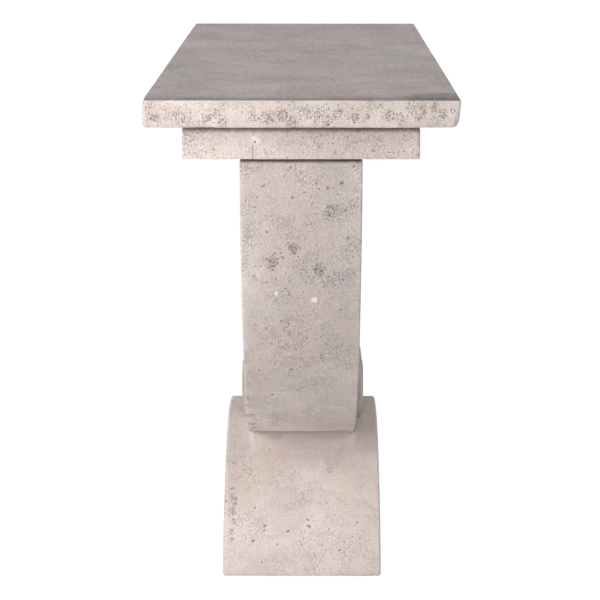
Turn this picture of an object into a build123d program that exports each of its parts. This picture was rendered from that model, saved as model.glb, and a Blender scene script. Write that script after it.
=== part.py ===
from build123d import *
import math
import os

# Cast-stone garden console table.
# A thin slab lies on a thicker, narrower lintel. The lintel stands on the two arms of a
# half-round cradle, and the cradle sits in the crown of a wider arched foot. A rosette covers
# each side of the place where the two arcs meet.
# Origin: on the floor, under the middle of the table. +X along the length, +Z up.

# ---------------------------------------------------------------- overall, millimetres
LENGTH = 1140.0
WIDTH = 410.0
HEIGHT = 760.0

# ---------------------------------------------------------------- slab and lintel
SLAB_THICKNESS = 36.0
SLAB_CORNER_RADIUS = 6.0
SLAB_BOTTOM_RADIUS = 5.0
SLAB_TOP_RADIUS = 2.0
SLAB_BED = 4.0
LINTEL_INSET = 49.0
LINTEL_THICKNESS = 44.0
LINTEL_CORNER_RADIUS = 5.0
LINTEL_BOTTOM_RADIUS = 4.0
BED_RECESS = 6.0

# ---------------------------------------------------------------- cradle
CRADLE_BED = 3.0
CRADLE_OUTER_RADIUS = 507.0
CRADLE_BAND = 90.0
CRADLE_WIDTH = 163.0
CRADLE_EDGE_RADIUS = 3.0
HUB_RADIUS = 60.0
HUB_BLEND_RADIUS = 14.0

# ---------------------------------------------------------------- foot
FOOT_LENGTH = 566.0
FOOT_WIDTH = 240.0
FOOT_HEIGHT = 190.0
FOOT_BAND = 75.0
FOOT_EDGE_RADIUS = 4.0
SEAT_BED = 3.0
SEAT_SIDE_GAP = 2.0
POINTING_REACH = 108.0       # middle to where the mortar under the cradle is struck off

# ---------------------------------------------------------------- rosettes
ROSETTE_RADIUS = 66.0
ROSETTE_RISE = 29.0          # centre above the top of the foot
ROSETTE_BED = 1.0
ROSETTE_FIELD = 9.0          # back face to the flat ground between the rings
ROSETTE_RINGS = ((63.0, 3.0), (53.0, 4.3), (40.0, 6.4))   # distance out and half-round radius
ROSETTE_BUTTON_RADIUS = 27.0
ROSETTE_BUTTON_HEIGHT = 16.0
ROSETTE_FOOT_GAP = 1.0

# ---------------------------------------------------------------- steel, resin, packers
RESIN = 2.0                  # wall of resin round a dowel and past its ends
SLAB_DOWEL_RADIUS = 5.0
SLAB_DOWEL_X = 330.0
SLAB_DOWEL_Y = 100.0
SLAB_DOWEL_IN_SLAB = 18.0
SLAB_DOWEL_IN_LINTEL = 34.0
CRADLE_DOWEL_RADIUS = 6.0
CRADLE_DOWEL_X = 461.0
CRADLE_DOWEL_Y = 28.0
CRADLE_DOWEL_IN_LINTEL = 25.0
CRADLE_DOWEL_IN_CRADLE = 90.0
FOOT_DOWEL_RADIUS = 6.0
FOOT_DOWEL_X = 45.0
FOOT_DOWEL_IN_FOOT = 34.0
FOOT_DOWEL_IN_CRADLE = 58.0
ROSETTE_DOWEL_RADIUS = 5.0
ROSETTE_DOWEL_IN_ROSETTE = 8.0
PACKER_RADIUS = 12.0
SLAB_PACKER_X = 440.0
SLAB_PACKER_Y = 120.0
CRADLE_PACKER_X = 461.0
CRADLE_PACKER_Y = 62.0

# ---------------------------------------------------------------- reinforcement
BAR_GAP = 1.0                # tie gap between two layers of bars
END_COVER = 25.0             # bar end to stone end
SLAB_BAR_RADIUS = 3.0
SLAB_BAR_COVER = 8.0
SLAB_BAR_Y = (-165.0, -55.0, 55.0, 165.0)
SLAB_CROSS_RADIUS = 2.5
SLAB_CROSS_PITCH = 130.0
SLAB_CROSS_COUNT = 9
LINTEL_BAR_RADIUS = 4.0
LINTEL_BAR_COVER = 10.0
LINTEL_BAR_Y = (-136.0, -70.0, 0.0, 70.0, 136.0)
LINTEL_CROSS_RADIUS = 3.0
LINTEL_CROSS_PITCH = 140.0
LINTEL_CROSS_COUNT = 7
CRADLE_BAR_RADIUS = 5.0
CRADLE_BAR_INNER = 438.0
CRADLE_BAR_OUTER = 484.0
CRADLE_BAR_Y = 58.0
CRADLE_LINK_RADIUS = 2.5
CRADLE_LINK_BEND = 8.0
CRADLE_LINK_START = 16.0     # degrees below the top of an arm
CRADLE_LINK_COUNT = 10
FOOT_BAR_RADIUS = 5.0
FOOT_BAR_COVER = 16.0
FOOT_BAR_Y = (-96.0, -42.0, 42.0, 96.0)
FOOT_SHOULDER_BAR_DEPTH = 18.0
FOOT_SHOULDER_BAR_Y = 101.0
FOOT_CROSS_RADIUS = 3.0
FOOT_CROSS_STEP = 23.0       # degrees
FOOT_CROSS_COUNT = 5

# ---------------------------------------------------------------- derived levels
SLAB_BOTTOM = HEIGHT - SLAB_THICKNESS
LINTEL_TOP = SLAB_BOTTOM - SLAB_BED
LINTEL_BOTTOM = LINTEL_TOP - LINTEL_THICKNESS
CRADLE_TOP = LINTEL_BOTTOM - CRADLE_BED
CRADLE_INNER_RADIUS = CRADLE_OUTER_RADIUS - CRADLE_BAND
LINTEL_LENGTH = LENGTH - 2 * LINTEL_INSET
LINTEL_WIDTH = WIDTH - 2 * LINTEL_INSET
FOOT_RADIUS = ((FOOT_LENGTH / 2) ** 2 + FOOT_HEIGHT ** 2) / (2 * FOOT_HEIGHT)
FOOT_INNER_RADIUS = FOOT_RADIUS - FOOT_BAND
FOOT_CENTRE_Z = FOOT_HEIGHT - FOOT_RADIUS
ROSETTE_Z = FOOT_HEIGHT + ROSETTE_RISE
ROSETTE_BACK = CRADLE_WIDTH / 2 + ROSETTE_BED


# ---------------------------------------------------------------- small shapes
def block(length, width, low, high):
    """A centred block between two heights."""
    return Pos(0, 0, (low + high) / 2) * Box(length, width, high - low)


def rod_x(radius, length, y, z):
    """A round rod along X, centred on X."""
    return Pos(0, y, z) * Rot(0, 90, 0) * Cylinder(radius, length)


def rod_y(radius, length, x, z):
    """A round rod along Y, centred on Y."""
    return Pos(x, 0, z) * Rot(90, 0, 0) * Cylinder(radius, length)


def rod_z(radius, x, y, low, high):
    """An upright round rod between two heights."""
    return Pos(x, y, (low + high) / 2) * Cylinder(radius, high - low)


def side_disc(radius, z):
    """A disc in the side elevation, centred on the middle of the table."""
    return Pos(0, z) * Circle(radius)


def side_band(low, high):
    """A strip across the side elevation, wider than the table."""
    return Pos(0, (low + high) / 2) * Rectangle(2 * LENGTH, high - low)


def across(profile, width):
    """Extrude a side-elevation profile evenly to both sides."""
    return extrude(Plane.XZ * profile, amount=width / 2, both=True)


def bent_bar(bar_radius, bend_radius, centre_z, start, sweep_angle, y):
    """A round bar bent to an arc in the side elevation."""
    path = Pos(0, y, 0) * (Plane.XZ * CenterArc((0, centre_z), bend_radius, start, sweep_angle))
    section = Plane(origin=path @ 0, z_dir=path % 0) * Circle(bar_radius)
    return sweep(section, path=path)


def four_corners(x, y):
    return [(sx * x, sy * y) for sx in (-1, 1) for sy in (-1, 1)]


def centred_row(count, pitch):
    return [(index - (count - 1) / 2) * pitch for index in range(count)]


def group(shapes):
    """Several separate solids in one node."""
    return Compound([solid for shape in shapes for solid in shape.solids()])


def cut_all(body, tools):
    for tool in tools:
        body = body - tool
    return body


# ---------------------------------------------------------------- dowels
# Each dowel is (radius, x, y, low, high, joint low, joint high): the joint is the bed between
# the two stones, and resin fills the socket on either side of it.
def slab_dowel_places():
    low = LINTEL_TOP - SLAB_DOWEL_IN_LINTEL
    high = SLAB_BOTTOM + SLAB_DOWEL_IN_SLAB
    return [(SLAB_DOWEL_RADIUS, x, y, low, high, LINTEL_TOP, SLAB_BOTTOM)
            for x, y in four_corners(SLAB_DOWEL_X, SLAB_DOWEL_Y)]


def cradle_dowel_places():
    low = CRADLE_TOP - CRADLE_DOWEL_IN_CRADLE
    high = LINTEL_BOTTOM + CRADLE_DOWEL_IN_LINTEL
    return [(CRADLE_DOWEL_RADIUS, x, y, low, high, CRADLE_TOP, LINTEL_BOTTOM)
            for x, y in four_corners(CRADLE_DOWEL_X, CRADLE_DOWEL_Y)]


def foot_dowel_places():
    drop = math.sqrt(CRADLE_OUTER_RADIUS ** 2 - FOOT_DOWEL_X ** 2)
    joint_high = CRADLE_TOP - drop
    joint_low = joint_high - SEAT_BED
    low = joint_low - FOOT_DOWEL_IN_FOOT
    high = joint_high + FOOT_DOWEL_IN_CRADLE
    return [(FOOT_DOWEL_RADIUS, x, 0, low, high, joint_low, joint_high)
            for x in (-FOOT_DOWEL_X, FOOT_DOWEL_X)]


def dowel(place):
    radius, x, y, low, high, _, _ = place
    return rod_z(radius, x, y, low, high)


def socket(place):
    """The whole drilled space of a dowel, through both stones and the bed between them."""
    radius, x, y, low, high, _, _ = place
    return rod_z(radius + RESIN, x, y, low - RESIN, high + RESIN)


def resin_pair(place, joint):
    """The resin of one dowel, in two solids, one on each side of the joint."""
    sleeve = socket(place) - dowel(place)
    return sleeve - joint


# ---------------------------------------------------------------- reinforcement
def slab_long_bars():
    z = SLAB_BOTTOM + SLAB_BAR_COVER + SLAB_BAR_RADIUS
    return [rod_x(SLAB_BAR_RADIUS, LENGTH - 2 * END_COVER, y, z) for y in SLAB_BAR_Y]


def slab_cross_bars():
    z = SLAB_BOTTOM + SLAB_BAR_COVER + 2 * SLAB_BAR_RADIUS + BAR_GAP + SLAB_CROSS_RADIUS
    places = centred_row(SLAB_CROSS_COUNT, SLAB_CROSS_PITCH)
    return [rod_y(SLAB_CROSS_RADIUS, WIDTH - 2 * END_COVER, x, z) for x in places]


def lintel_long_bars():
    z = LINTEL_BOTTOM + LINTEL_BAR_COVER + LINTEL_BAR_RADIUS
    return [rod_x(LINTEL_BAR_RADIUS, LINTEL_LENGTH - 2 * END_COVER, y, z) for y in LINTEL_BAR_Y]


def lintel_cross_bars():
    layer = LINTEL_BOTTOM + LINTEL_BAR_COVER + 2 * LINTEL_BAR_RADIUS
    z = layer + BAR_GAP + LINTEL_CROSS_RADIUS
    length = 2 * max(LINTEL_BAR_Y)
    places = centred_row(LINTEL_CROSS_COUNT, LINTEL_CROSS_PITCH)
    return [rod_y(LINTEL_CROSS_RADIUS, length, x, z) for x in places]


def cradle_bars():
    bars = []
    for bend_radius in (CRADLE_BAR_INNER, CRADLE_BAR_OUTER):
        cover_angle = math.degrees(END_COVER / bend_radius)
        for y in (-CRADLE_BAR_Y, CRADLE_BAR_Y):
            bars.append(bent_bar(CRADLE_BAR_RADIUS, bend_radius, CRADLE_TOP,
                                 180 + cover_angle, 180 - 2 * cover_angle, y))
    return bars


def cradle_link(angle):
    """One closed loop round the four bars, square to the arc."""
    reach = CRADLE_BAR_RADIUS + BAR_GAP + CRADLE_LINK_RADIUS
    depth = CRADLE_BAR_OUTER - CRADLE_BAR_INNER + 2 * reach
    width = 2 * (CRADLE_BAR_Y + reach)
    mid_radius = (CRADLE_BAR_INNER + CRADLE_BAR_OUTER) / 2
    radial = Vector(math.cos(math.radians(angle)), 0, math.sin(math.radians(angle)))
    tangent = Vector(-radial.Z, 0, radial.X)
    centre = Vector(0, 0, CRADLE_TOP) + radial * mid_radius
    section_plane = Plane(origin=centre, x_dir=radial, z_dir=tangent)
    path = (section_plane * RectangleRounded(depth, width, CRADLE_LINK_BEND)).wire()
    wire_section = Plane(origin=path @ 0, z_dir=path % 0) * Circle(CRADLE_LINK_RADIUS)
    return sweep(wire_section, path=path)


def cradle_links():
    step = (180 - 2 * CRADLE_LINK_START) / (CRADLE_LINK_COUNT - 1)
    return [cradle_link(180 + CRADLE_LINK_START + index * step) for index in range(CRADLE_LINK_COUNT)]


def foot_bar_arc(bend_radius):
    """Start and sweep, in degrees, of an arc whose ends stop short of the floor."""
    start = math.degrees(math.asin((END_COVER - FOOT_CENTRE_Z) / bend_radius))
    return start, 180 - 2 * start


def foot_bars():
    lower = FOOT_INNER_RADIUS + FOOT_BAR_COVER + FOOT_BAR_RADIUS
    upper = FOOT_RADIUS - FOOT_SHOULDER_BAR_DEPTH
    bars = [(lower, y) for y in FOOT_BAR_Y]
    bars += [(upper, y) for y in (-FOOT_SHOULDER_BAR_Y, FOOT_SHOULDER_BAR_Y)]
    return [bent_bar(FOOT_BAR_RADIUS, bend, FOOT_CENTRE_Z, *foot_bar_arc(bend), y) for bend, y in bars]


def foot_cross_bars():
    layer = FOOT_INNER_RADIUS + FOOT_BAR_COVER + 2 * FOOT_BAR_RADIUS
    radius = layer + BAR_GAP + FOOT_CROSS_RADIUS
    bars = []
    for turn in centred_row(FOOT_CROSS_COUNT, FOOT_CROSS_STEP):
        x = radius * math.sin(math.radians(turn))
        z = FOOT_CENTRE_Z + radius * math.cos(math.radians(turn))
        bars.append(rod_y(FOOT_CROSS_RADIUS, 2 * max(FOOT_BAR_Y), x, z))
    return bars


# ---------------------------------------------------------------- stones
def rounded_block(length, width, low, high, corner, bottom, top):
    stone = block(length, width, low, high)
    stone = fillet(stone.edges().filter_by(Axis.Z), corner)
    stone = fillet(stone.faces().sort_by(Axis.Z)[0].edges(), bottom)
    if top:
        stone = fillet(stone.faces().sort_by(Axis.Z)[-1].edges(), top)
    return stone


def top_slab():
    stone = rounded_block(LENGTH, WIDTH, SLAB_BOTTOM, HEIGHT,
                          SLAB_CORNER_RADIUS, SLAB_BOTTOM_RADIUS, SLAB_TOP_RADIUS)
    sockets = [socket(place) for place in slab_dowel_places()]
    return cut_all(stone, sockets + slab_long_bars() + slab_cross_bars())


def lintel():
    stone = rounded_block(LINTEL_LENGTH, LINTEL_WIDTH, LINTEL_BOTTOM, LINTEL_TOP,
                          LINTEL_CORNER_RADIUS, LINTEL_BOTTOM_RADIUS, 0)
    sockets = [socket(place) for place in slab_dowel_places() + cradle_dowel_places()]
    return cut_all(stone, sockets + lintel_long_bars() + lintel_cross_bars())


def rosette_socket():
    reach = ROSETTE_BACK + ROSETTE_DOWEL_IN_ROSETTE + RESIN
    return rod_y(ROSETTE_DOWEL_RADIUS + RESIN, 2 * reach, 0, ROSETTE_Z)


def cradle_profile():
    """Half ring with a round hub on its lowest point, and soft corners where they meet."""
    ring = side_disc(CRADLE_OUTER_RADIUS, CRADLE_TOP) - side_disc(CRADLE_INNER_RADIUS, CRADLE_TOP)
    lower_half = side_disc(CRADLE_OUTER_RADIUS, CRADLE_TOP) & side_band(0, CRADLE_TOP)
    hub = side_disc(HUB_RADIUS, ROSETTE_Z) & lower_half
    profile = (ring & lower_half) + hub
    inside = [corner for corner in profile.vertices()
              if abs(corner.X) < HUB_RADIUS and corner.Y > ROSETTE_Z]
    return fillet(inside, HUB_BLEND_RADIUS)


def cradle():
    stone = across(cradle_profile(), CRADLE_WIDTH)
    side = CRADLE_WIDTH / 2
    arrises = [edge for edge in stone.edges()
               if abs(abs(edge.center().Y) - side) < 0.01 and edge.geom_type == GeomType.CIRCLE]
    stone = fillet(arrises, CRADLE_EDGE_RADIUS)
    sockets = [socket(place) for place in cradle_dowel_places() + foot_dowel_places()]
    return cut_all(stone, sockets + [rosette_socket()] + cradle_bars() + cradle_links())


def seat_tool(radius, half_width):
    """The round underside of the cradle, as a cutting cylinder."""
    return rod_y(radius, 2 * half_width, 0, CRADLE_TOP)


def arched_foot():
    arch = side_disc(FOOT_RADIUS, FOOT_CENTRE_Z) - side_disc(FOOT_INNER_RADIUS, FOOT_CENTRE_Z)
    stone = across(arch & side_band(0, FOOT_HEIGHT), FOOT_WIDTH)
    stone = fillet(stone.edges().filter_by(GeomType.CIRCLE), FOOT_EDGE_RADIUS)
    seat_half = CRADLE_WIDTH / 2 + SEAT_SIDE_GAP
    stone = stone - seat_tool(CRADLE_OUTER_RADIUS + SEAT_BED, seat_half)
    sockets = [socket(place) for place in foot_dowel_places()]
    return cut_all(stone, sockets + foot_bars() + foot_cross_bars())


def rosette_section():
    """Half section of a rosette: radius along X, height above its back face along Y."""
    plate = Pos(ROSETTE_RADIUS / 2, ROSETTE_FIELD / 2) * Rectangle(ROSETTE_RADIUS, ROSETTE_FIELD)
    rings = [Pos(out, ROSETTE_FIELD) * Circle(radius) for out, radius in ROSETTE_RINGS]
    rise = ROSETTE_BUTTON_HEIGHT - ROSETTE_FIELD
    dome_radius = (ROSETTE_BUTTON_RADIUS ** 2 + rise ** 2) / (2 * rise)
    dome = Pos(0, ROSETTE_BUTTON_HEIGHT - dome_radius) * Circle(dome_radius)
    dome = dome & (Pos(ROSETTE_BUTTON_RADIUS / 2, ROSETTE_BUTTON_HEIGHT / 2)
                   * Rectangle(ROSETTE_BUTTON_RADIUS, ROSETTE_BUTTON_HEIGHT))
    return plate + rings + dome


def rosette():
    """The rosette on the -Y side, standing on the foot."""
    turned = revolve(rosette_section(), Axis.Y, 360)
    stone = Pos(0, -ROSETTE_BACK, ROSETTE_Z) * mirror(turned, about=Plane.XZ)
    stone = stone - rod_y(FOOT_RADIUS + ROSETTE_FOOT_GAP, FOOT_WIDTH, 0, FOOT_CENTRE_Z)
    return stone - rosette_socket()


# ---------------------------------------------------------------- beds
def slab_packers():
    return [rod_z(PACKER_RADIUS, x, y, LINTEL_TOP, SLAB_BOTTOM)
            for x, y in four_corners(SLAB_PACKER_X, SLAB_PACKER_Y)]


def cradle_packers():
    return [rod_z(PACKER_RADIUS, x, y, CRADLE_TOP, LINTEL_BOTTOM)
            for x, y in four_corners(CRADLE_PACKER_X, CRADLE_PACKER_Y)]


def slab_bed():
    bed = block(LINTEL_LENGTH - 2 * BED_RECESS, LINTEL_WIDTH - 2 * BED_RECESS, LINTEL_TOP, SLAB_BOTTOM)
    return cut_all(bed, [dowel(place) for place in slab_dowel_places()] + slab_packers())


def cradle_bed(side):
    """The bed on one arm of the cradle: side is -1 or +1 along X."""
    length = CRADLE_BAND - 2 * BED_RECESS
    centre_x = side * (CRADLE_OUTER_RADIUS - CRADLE_BAND / 2)
    bed = Pos(centre_x, 0, 0) * block(length, CRADLE_WIDTH - 2 * BED_RECESS, CRADLE_TOP, LINTEL_BOTTOM)
    return cut_all(bed, [dowel(place) for place in cradle_dowel_places()] + cradle_packers())


def foot_bed():
    """The curved bed under the cradle, struck out to fill the wedge on both sides of it."""
    half_width = CRADLE_WIDTH / 2 - CRADLE_EDGE_RADIUS
    foot = rod_y(FOOT_RADIUS, FOOT_WIDTH, 0, FOOT_CENTRE_Z)
    foot = foot - seat_tool(CRADLE_OUTER_RADIUS + SEAT_BED, FOOT_WIDTH)
    bed = block(2 * POINTING_REACH, 2 * half_width, FOOT_HEIGHT - FOOT_BAND, FOOT_HEIGHT)
    bed = bed - foot - seat_tool(CRADLE_OUTER_RADIUS, CRADLE_WIDTH)
    return cut_all(bed, [dowel(place) for place in foot_dowel_places()])


def rosette_bed():
    """Adhesive behind the -Y rosette."""
    radius = HUB_RADIUS - 2 * CRADLE_EDGE_RADIUS
    middle = -(CRADLE_WIDTH / 2 + ROSETTE_BACK) / 2
    bed = Pos(0, middle, ROSETTE_Z) * Rot(90, 0, 0) * Cylinder(radius, ROSETTE_BED)
    bed = bed - rod_y(FOOT_RADIUS + ROSETTE_FOOT_GAP, FOOT_WIDTH, 0, FOOT_CENTRE_Z)
    return bed - rosette_dowel()


def rosette_dowel():
    length = 2 * (ROSETTE_BACK + ROSETTE_DOWEL_IN_ROSETTE)
    return rod_y(ROSETTE_DOWEL_RADIUS, length, 0, ROSETTE_Z)


# ---------------------------------------------------------------- resin
def flat_joint_resin(places):
    """Resin of dowels that cross a level bed."""
    pairs = []
    for place in places:
        *_, joint_low, joint_high = place
        pairs.append(resin_pair(place, block(LENGTH, WIDTH, joint_low, joint_high)))
    return pairs


def foot_dowel_resin():
    joint = seat_tool(CRADLE_OUTER_RADIUS + SEAT_BED, CRADLE_WIDTH)
    joint = joint - seat_tool(CRADLE_OUTER_RADIUS, CRADLE_WIDTH)
    return [resin_pair(place, joint) for place in foot_dowel_places()]


def rosette_dowel_resin():
    sleeve = rosette_socket() - rosette_dowel()
    gap = across(side_disc(ROSETTE_RADIUS, ROSETTE_Z), 2 * ROSETTE_BACK)
    gap = gap - across(side_disc(ROSETTE_RADIUS, ROSETTE_Z), CRADLE_WIDTH)
    return [sleeve - gap]


# ---------------------------------------------------------------- the table
def nodes():
    right_rosette = rosette()
    right_rosette_bed = rosette_bed()
    return {
        "top_slab": top_slab(),
        "lintel": lintel(),
        "cradle": cradle(),
        "arched_foot": arched_foot(),
        "rosette_right": right_rosette,
        "rosette_left": mirror(right_rosette, about=Plane.XZ),
        "slab_bed": slab_bed(),
        "cradle_bed_front": cradle_bed(-1),
        "cradle_bed_back": cradle_bed(1),
        "foot_bed": foot_bed(),
        "rosette_bed_right": right_rosette_bed,
        "rosette_bed_left": mirror(right_rosette_bed, about=Plane.XZ),
        "slab_packers": group(slab_packers()),
        "cradle_packers": group(cradle_packers()),
        "slab_dowels": group([dowel(place) for place in slab_dowel_places()]),
        "cradle_dowels": group([dowel(place) for place in cradle_dowel_places()]),
        "foot_dowels": group([dowel(place) for place in foot_dowel_places()]),
        "rosette_dowel": rosette_dowel(),
        "slab_dowel_resin": group(flat_joint_resin(slab_dowel_places())),
        "cradle_dowel_resin": group(flat_joint_resin(cradle_dowel_places())),
        "foot_dowel_resin": group(foot_dowel_resin()),
        "rosette_dowel_resin": group(rosette_dowel_resin()),
        "slab_long_bars": group(slab_long_bars()),
        "slab_cross_bars": group(slab_cross_bars()),
        "lintel_long_bars": group(lintel_long_bars()),
        "lintel_cross_bars": group(lintel_cross_bars()),
        "cradle_bars": group(cradle_bars()),
        "cradle_links": group(cradle_links()),
        "foot_bars": group(foot_bars()),
        "foot_cross_bars": group(foot_cross_bars()),
    }


os.makedirs("parts", exist_ok=True)
for name, shape in nodes().items():
    shape.label = name
    export_step(shape, f"parts/{name}.step")
    print(name, len(shape.solids()), "solids", round(shape.volume / 1000, 1), "cm3")
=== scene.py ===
import itertools
import math
import random

import bmesh
import bpy
import numpy as np
from mathutils import Euler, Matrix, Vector


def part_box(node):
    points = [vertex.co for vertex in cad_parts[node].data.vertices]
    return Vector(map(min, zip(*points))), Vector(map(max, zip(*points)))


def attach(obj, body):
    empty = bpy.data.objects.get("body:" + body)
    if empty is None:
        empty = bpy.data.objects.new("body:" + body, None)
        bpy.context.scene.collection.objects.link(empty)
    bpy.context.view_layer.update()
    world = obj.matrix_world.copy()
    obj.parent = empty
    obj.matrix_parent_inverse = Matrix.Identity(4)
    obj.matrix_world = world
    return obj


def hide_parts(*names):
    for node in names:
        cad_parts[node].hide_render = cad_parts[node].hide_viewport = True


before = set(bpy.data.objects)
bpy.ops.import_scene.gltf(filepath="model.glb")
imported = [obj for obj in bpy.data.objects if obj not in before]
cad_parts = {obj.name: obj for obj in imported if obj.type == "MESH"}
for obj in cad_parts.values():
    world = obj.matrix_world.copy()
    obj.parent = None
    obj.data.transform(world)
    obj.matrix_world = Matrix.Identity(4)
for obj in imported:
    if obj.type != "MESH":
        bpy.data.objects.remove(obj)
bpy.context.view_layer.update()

MM = 0.001

# ---------------------------------------- sizes from the frame
SLAB_LOW, SLAB_HIGH = (np.array(corner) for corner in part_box("top_slab"))
LINTEL_LOW, LINTEL_HIGH = (np.array(corner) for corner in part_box("lintel"))
CRADLE_HIGH = np.array(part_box("cradle")[1])
FOOT_HIGH = np.array(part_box("arched_foot")[1])
ROSETTE_LOW, ROSETTE_HIGH = (np.array(corner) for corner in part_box("rosette_right"))
NEAR_END = SLAB_LOW[0]
TABLE_TOP = SLAB_HIGH[2]

CRADLE_OUTER = CRADLE_HIGH[0]
CRADLE_CENTRE_Z = CRADLE_HIGH[2]
CRADLE_BAND = 90 * MM
CRADLE_INNER = CRADLE_OUTER - CRADLE_BAND
CRADLE_HALF_WIDTH = CRADLE_HIGH[1]
FOOT_BAND = 75 * MM
FOOT_HALF_LENGTH = FOOT_HIGH[0]
FOOT_HALF_WIDTH = FOOT_HIGH[1]
FOOT_HEIGHT = FOOT_HIGH[2]
FOOT_OUTER = (FOOT_HALF_LENGTH ** 2 + FOOT_HEIGHT ** 2) / (2 * FOOT_HEIGHT)
FOOT_CENTRE_Z = FOOT_HEIGHT - FOOT_OUTER
SEAT_BED = 3 * MM
SEAT_SIDE_GAP = 2 * MM
POINTING_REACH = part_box("foot_bed")[1][0]
POINTING_TOP = CRADLE_CENTRE_Z - math.sqrt(CRADLE_OUTER ** 2 - POINTING_REACH ** 2)
ROSETTE_RADIUS = (ROSETTE_HIGH[0] - ROSETTE_LOW[0]) / 2
ROSETTE_Z = ROSETTE_HIGH[2] - ROSETTE_RADIUS
ROSETTE_BACK = -ROSETTE_HIGH[1]
ROSETTE_FOOT_GAP = 1 * MM
ROSETTE_FIELD = 9 * MM
# Each ring is a bead: its distance from the rosette's middle, and its radius.
ROSETTE_RINGS = [(63 * MM, 3 * MM), (53 * MM, 4.3 * MM), (40 * MM, 6.4 * MM)]
ROSETTE_BUTTON_REACH = 27 * MM
ROSETTE_BUTTON_TOP = 16 * MM
HUB_RADIUS = 60 * MM
HUB_BLEND = 14 * MM


# ---------------------------------------- noise
# A whole-number hash gives each lattice corner its value: one multiplier per axis, and a mixer.
HASH_AXES = (73856093, 19349663, 83492791)
HASH_MIXER = 1274126177
HASH_MASK = 0x7FFFFFFF
HASH_LEVELS = 10007
SEED_SHIFT = 17.31


def noise(points, size, seed):
    """Smooth noise from -1 to 1 with features about size metres across."""
    place = points / size + seed * SEED_SHIFT
    cell = np.floor(place).astype(np.int64)
    part = place - cell
    part = part * part * (3 - 2 * part)
    total = np.zeros(len(points))
    for corner in itertools.product((0, 1), repeat=3):
        key = (cell + corner) * HASH_AXES
        mixed = key[:, 0] ^ key[:, 1] ^ key[:, 2]
        mixed = ((mixed ^ (mixed >> 13)) * HASH_MIXER) & HASH_MASK
        value = ((mixed ^ (mixed >> 16)) % HASH_LEVELS) / (HASH_LEVELS // 2) - 1
        weight = np.prod(np.where(corner, part, 1 - part), axis=1)
        total += value * weight
    return total


def fractal(points, size, seed):
    """Noise with two finer layers over it, each half as large and half as strong as the last."""
    total = np.zeros(len(points))
    for octave in range(3):
        total += noise(points, size / 2 ** octave, seed + octave) / 2 ** octave
    return total


def smooth_step(value, low, high):
    """0 below low and 1 above high, with a soft rise between."""
    part = np.clip((value - low) / (high - low), 0, 1)
    return part * part * (3 - 2 * part)


def bump_at(points, centre, reach):
    """One soft hill of height 1 round a place."""
    away = np.linalg.norm(points - np.array(centre), axis=1)
    return np.exp(-(away / reach) ** 2)


# ---------------------------------------- mesh tools
CREASE_ANGLE = math.radians(38)
WELD_DISTANCE = 0.001 * MM


def lines(half, fine, coarse, zone):
    """Lattice lines from -half to half: fine apart in a zone at both ends, coarse apart between."""
    edge = np.arange(0, zone, fine)
    count = max(2, round(2 * (half - zone) / coarse))
    middle = np.linspace(zone - half, half - zone, count + 1)
    return np.concatenate([edge - half, middle, (half - edge)[::-1]])


def lattice(xs, ys, zs):
    """Points and quads on the outside of a block of lattice lines."""
    counts = (len(xs), len(ys), len(zs))
    keys, quads = [], []
    for axis in range(3):
        first, second = [other for other in range(3) if other != axis]
        a, b = np.meshgrid(np.arange(counts[first]), np.arange(counts[second]), indexing="ij")
        for level in (0, counts[axis] - 1):
            index = np.zeros(a.shape + (3,), dtype=np.int64)
            index[..., axis] = level
            index[..., first] = a
            index[..., second] = b
            key = (index[..., 0] * counts[1] + index[..., 1]) * counts[2] + index[..., 2]
            quad = np.stack([key[:-1, :-1], key[1:, :-1], key[1:, 1:], key[:-1, 1:]], axis=-1)
            quad = quad.reshape(-1, 4)
            outward = (level > 0) == (axis != 1)
            quads.append(quad if outward else quad[:, ::-1])
            keys.append(key.ravel())
    used = np.unique(np.concatenate(keys))
    remap = np.zeros(used.max() + 1, dtype=np.int64)
    remap[used] = np.arange(len(used))
    i, rest = np.divmod(used, counts[1] * counts[2])
    j, k = np.divmod(rest, counts[2])
    points = np.stack([xs[i], ys[j], zs[k]], axis=1)
    return points, remap[np.concatenate(quads)]


def round_block(points, half, radius):
    """Rounds the arrises of a block by each point's own radius: the new points and their normals."""
    inner = half - radius[:, None]
    core = np.clip(points, -inner, inner)
    away = points - core
    normal = away / np.linalg.norm(away, axis=1)[:, None]
    return core + normal * radius[:, None], normal


def add_object(name, data):
    """Puts a mesh, a lamp or a camera into the scene."""
    obj = bpy.data.objects.new(name, data)
    bpy.context.scene.collection.objects.link(obj)
    return obj


def mesh_object(name, points, faces, material):
    """A mesh from an array of points, and faces given as an array or as a list of tuples."""
    mesh = bpy.data.meshes.new(name)
    mesh.from_pydata(points.tolist(), [], faces if isinstance(faces, list) else faces.tolist())
    mesh.materials.append(material)
    return add_object(name, mesh)


def carve(obj, tools):
    """Cuts the tools out of the object for good, and drops them."""
    for tool in tools:
        cut = obj.modifiers.new("cut", "BOOLEAN")
        cut.operation = "DIFFERENCE"
        cut.solver = "MANIFOLD"
        cut.material_mode = "TRANSFER"
        cut.object = tool
    graph = bpy.context.evaluated_depsgraph_get()
    carved = bpy.data.meshes.new_from_object(obj.evaluated_get(graph))
    obj.modifiers.clear()
    obj.data = carved
    for tool in tools:
        bpy.data.objects.remove(tool)


def soften(obj):
    """Smooth shading, with creases kept where faces meet at more than the crease angle."""
    obj.data.shade_smooth()
    obj.data.set_sharp_from_angle(angle=CREASE_ANGLE)


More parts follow.
